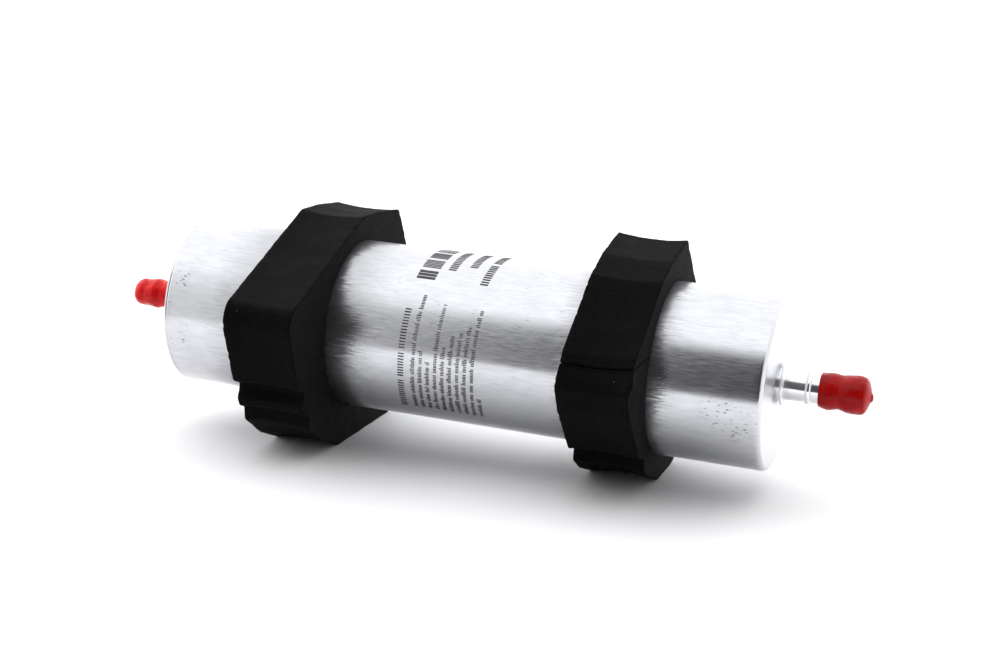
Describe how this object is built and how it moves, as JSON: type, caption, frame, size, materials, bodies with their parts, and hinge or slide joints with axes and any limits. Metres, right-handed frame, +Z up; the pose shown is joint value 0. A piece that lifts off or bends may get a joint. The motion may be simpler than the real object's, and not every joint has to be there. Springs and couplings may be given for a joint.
{
  "type": "fuel filter",
  "caption": "Inline diesel fuel filter: round drawn can with a tube spigot in each end, push-on caps and foam isolator rings.",
  "frame": {"origin": "middle of the can's inlet end face, on the can's axis, where the inlet tube leaves it", "axes": "+X along the can's axis and out of the inlet, +Z up, square to the feet of the foam rings, -Y towards the rings' noses"},
  "size_m": [0.2542, 0.0964, 0.0781],
  "materials": {
    "can_aluminium": "satin",
    "lid_aluminium": "satin",
    "tube_aluminium": "satin",
    "zinc_steel": "satin",
    "pressed_steel": "satin",
    "spring_steel": "satin",
    "seal_rubber": "matte",
    "red_vinyl": "satin",
    "black_foam": "matte",
    "potting": "matte",
    "filter_paper": "matte",
    "band_plastic": "matte"
  },
  "bodies": {
    "can_assembly": {"can": "can_aluminium", "outlet_lid": "lid_aluminium", "lid_seal": "seal_rubber", "inlet_spigot": "tube_aluminium", "inlet_collar": "zinc_steel", "inlet_stem_seal": "seal_rubber", "outlet_spigot": "tube_aluminium", "outlet_collar": "zinc_steel", "outlet_stem_seal": "seal_rubber", "flow_diffuser": "pressed_steel", "element_spring": "spring_steel", "spring_seat": "pressed_steel", "inlet_end_disc": "pressed_steel", "inlet_potting": "potting", "filter_media": "filter_paper", "pleat_bands": "band_plastic", "centre_tube": "pressed_steel", "outlet_potting": "potting", "outlet_end_disc": "pressed_steel", "outlet_grommet": "seal_rubber"},
    "inlet_cap_body": {"inlet_cap": "red_vinyl"},
    "outlet_cap_body": {"outlet_cap": "red_vinyl"},
    "inlet_ring_body": {"inlet_foam_ring": "black_foam"},
    "outlet_ring_body": {"outlet_foam_ring": "black_foam"}
  },
  "joints": [
    {"name": "inlet_cap_pull", "type": "slide", "parent": "can_assembly", "child": "inlet_cap_body", "axis": [1, 0, 0], "range_m": [0, 0.03]},
    {"name": "outlet_cap_pull", "type": "slide", "parent": "can_assembly", "child": "outlet_cap_body", "axis": [-1, 0, 0], "range_m": [0, 0.03]},
    {"name": "inlet_ring_slide", "type": "slide", "parent": "can_assembly", "child": "inlet_ring_body", "axis": [1, 0, 0], "range_m": [-0.03, 0.03]},
    {"name": "outlet_ring_slide", "type": "slide", "parent": "can_assembly", "child": "outlet_ring_body", "axis": [1, 0, 0], "range_m": [-0.03, 0.03]}
  ]
}
